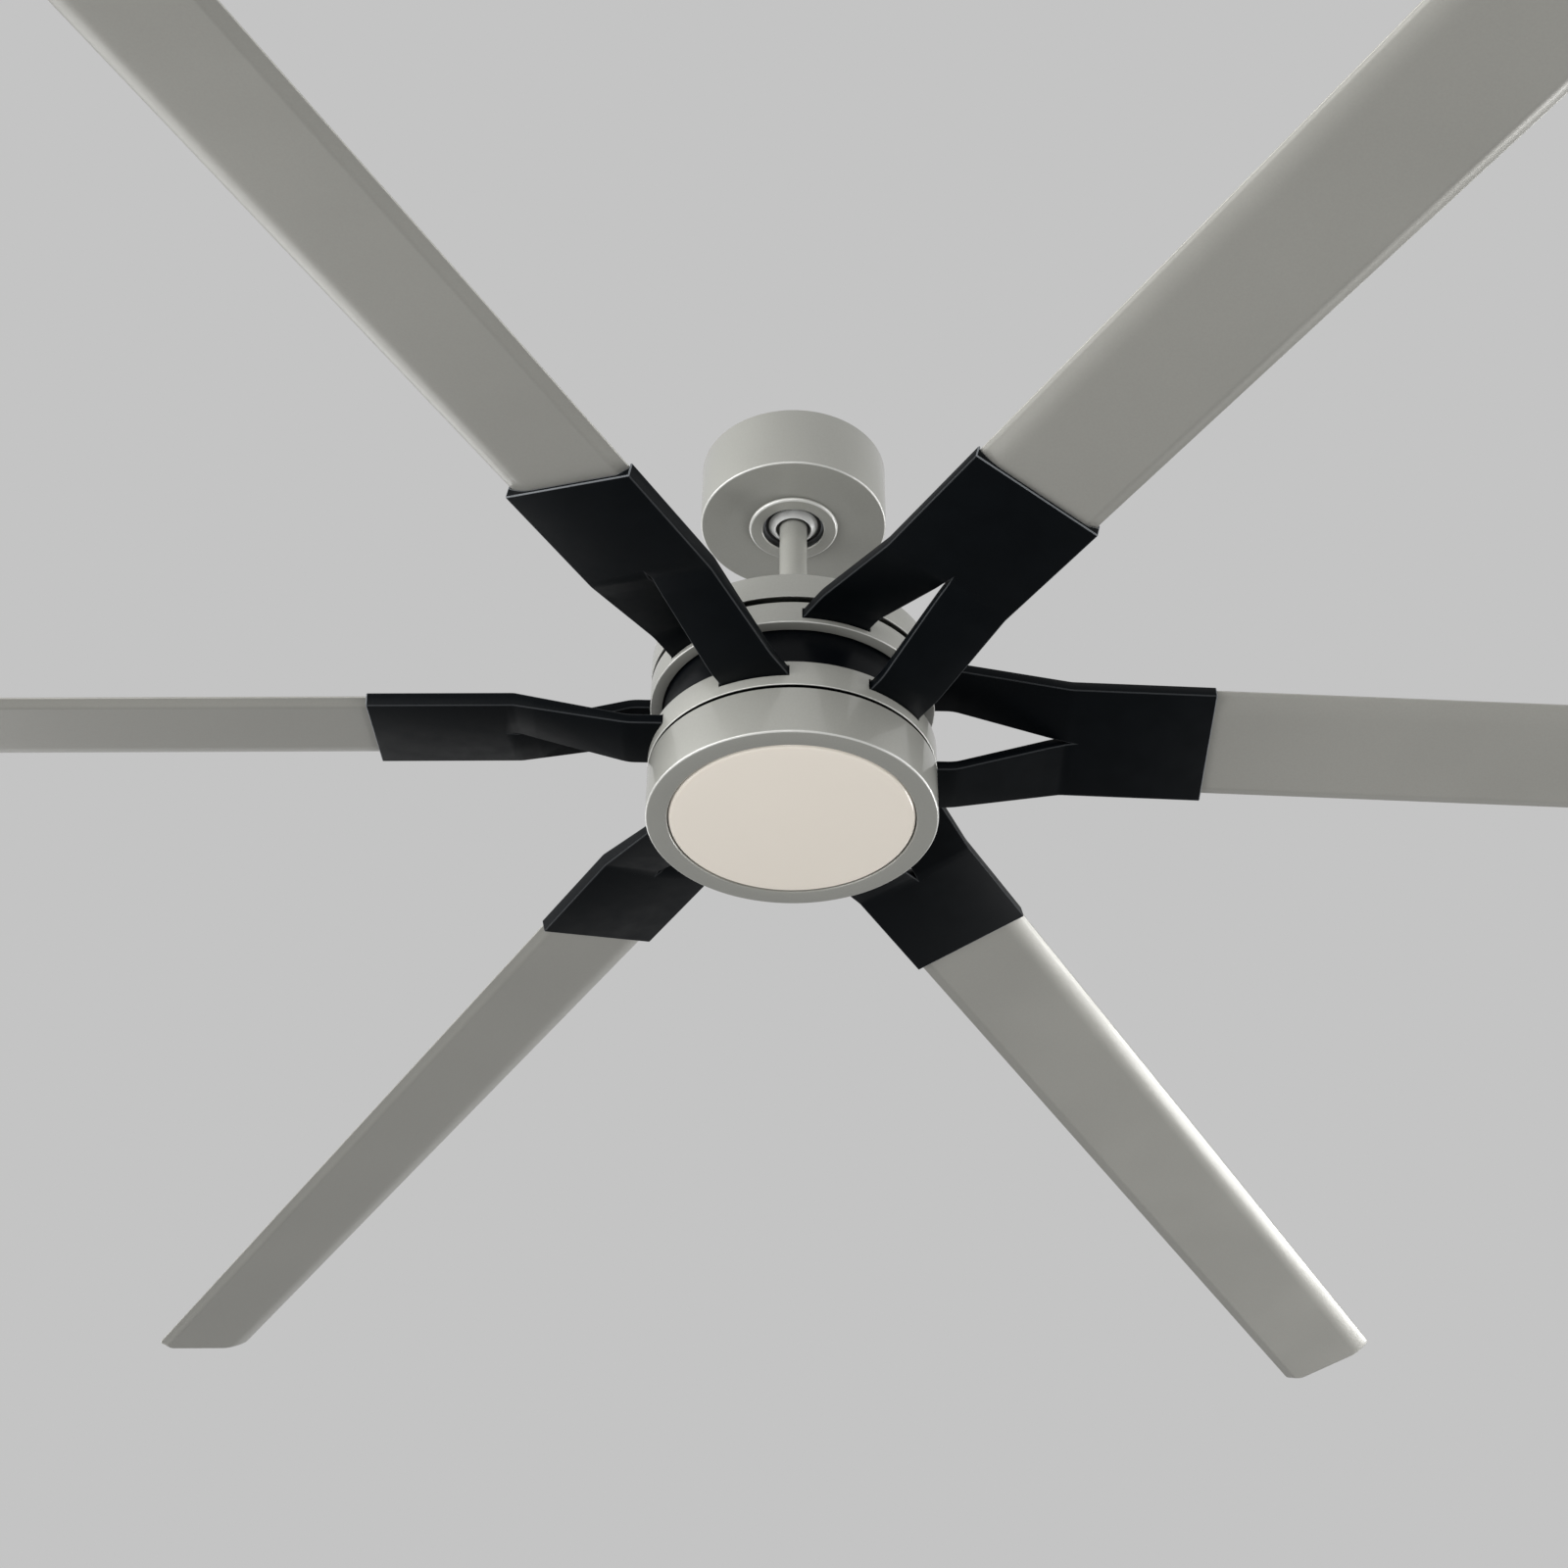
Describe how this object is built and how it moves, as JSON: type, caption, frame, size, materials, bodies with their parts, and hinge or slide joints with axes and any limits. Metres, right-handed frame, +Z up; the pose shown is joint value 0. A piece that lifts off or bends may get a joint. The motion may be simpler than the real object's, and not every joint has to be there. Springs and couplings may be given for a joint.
{
  "type": "ceiling fan",
  "caption": "Large indoor ceiling fan: straight blades in black forked brackets round a drum motor, on a short downrod and ball hanger, with a round flat light below.",
  "frame": {"origin": "on the ceiling, in the middle of the hanger bracket's upper face, on the fan's axis", "axes": "+Z up into the ceiling along the rotor's axis, +X along the first blade at rest, +Y across it"},
  "size_m": [2.4382, 2.1518, 0.3502],
  "materials": {
    "silver_paint": "satin",
    "blade_silver": "satin",
    "black_casting": "matte",
    "black_drum": "satin",
    "opal_plastic": "satin",
    "white_nylon": "satin",
    "black_nylon": "satin",
    "zinc_steel": "satin",
    "dark_steel": "satin",
    "cast_aluminium": "matte",
    "bright_steel": "polished",
    "copper_wire": "satin",
    "magnet": "matte",
    "circuit_board": "satin",
    "white_board": "satin",
    "white_aluminium": "satin",
    "black_plastic": "matte",
    "wiring_sheath": "matte"
  },
  "bodies": {
    "ceiling_side": {"hanger_bracket": "zinc_steel", "canopy": "silver_paint", "canopy_trim_ring": "silver_paint", "canopy_screw_1": "zinc_steel", "canopy_screw_2": "zinc_steel", "receiver": "black_plastic"},
    "socket_liner": {"ball_liner": "black_nylon"},
    "drop": {"hanger_ball": "white_nylon", "ball_pin": "bright_steel", "downrod": "silver_paint", "coupler": "cast_aluminium", "coupler_pin": "bright_steel", "coupling_cover": "silver_paint", "upper_cap": "silver_paint", "driver_board": "circuit_board", "motor_shaft": "bright_steel", "stator_core": "dark_steel", "stator_windings": "copper_wire", "stator_hub": "cast_aluminium", "light_ring": "silver_paint", "light_pan": "white_aluminium", "shaft_nut": "bright_steel", "led_board": "white_board", "led_driver": "black_plastic", "inner_wiring": "wiring_sheath"},
    "light_lens": {"lens": "opal_plastic"},
    "rotor": {"upper_bearing": "bright_steel", "lower_bearing": "bright_steel", "rotor_upper_plate": "cast_aluminium", "rotor_lower_plate": "cast_aluminium", "clamp_ring": "zinc_steel", "drum": "black_drum", "magnet_ring": "magnet", "upper_ring": "silver_paint", "lower_ring": "silver_paint", "blade_bracket_1": "black_casting", "blade_bracket_2": "black_casting", "blade_bracket_3": "black_casting", "blade_bracket_4": "black_casting", "blade_bracket_5": "black_casting", "blade_bracket_6": "black_casting", "blade_1": "blade_silver", "blade_2": "blade_silver", "blade_3": "blade_silver", "blade_4": "blade_silver", "blade_5": "blade_silver", "blade_6": "blade_silver", "blade_clamp_1": "zinc_steel", "blade_clamp_2": "zinc_steel", "blade_clamp_3": "zinc_steel", "blade_clamp_4": "zinc_steel", "blade_clamp_5": "zinc_steel", "blade_clamp_6": "zinc_steel", "bracket_screw_1": "zinc_steel", "bracket_screw_2": "zinc_steel", "bracket_screw_3": "zinc_steel", "bracket_screw_4": "zinc_steel", "bracket_screw_5": "zinc_steel", "bracket_screw_6": "zinc_steel"}
  },
  "joints": [
    {"name": "hanger_tilt_x", "type": "hinge", "parent": "ceiling_side", "child": "socket_liner", "pos_m": [0, 0, -0.0394], "axis": [1, 0, 0], "range_deg": [-18, 18]},
    {"name": "hanger_tilt_y", "type": "hinge", "parent": "socket_liner", "child": "drop", "pos_m": [0, 0, -0.0394], "axis": [0, 1, 0], "range_deg": [-18, 18]},
    {"name": "rotor_spin", "type": "hinge", "parent": "drop", "child": "rotor", "pos_m": [0, 0, -0.268], "axis": [0, 0, 1], "continuous": true},
    {"name": "lens_twist", "type": "hinge", "parent": "drop", "child": "light_lens", "pos_m": [0, 0, -0.348], "axis": [0, 0, 1], "range_deg": [0, 22]}
  ]
}
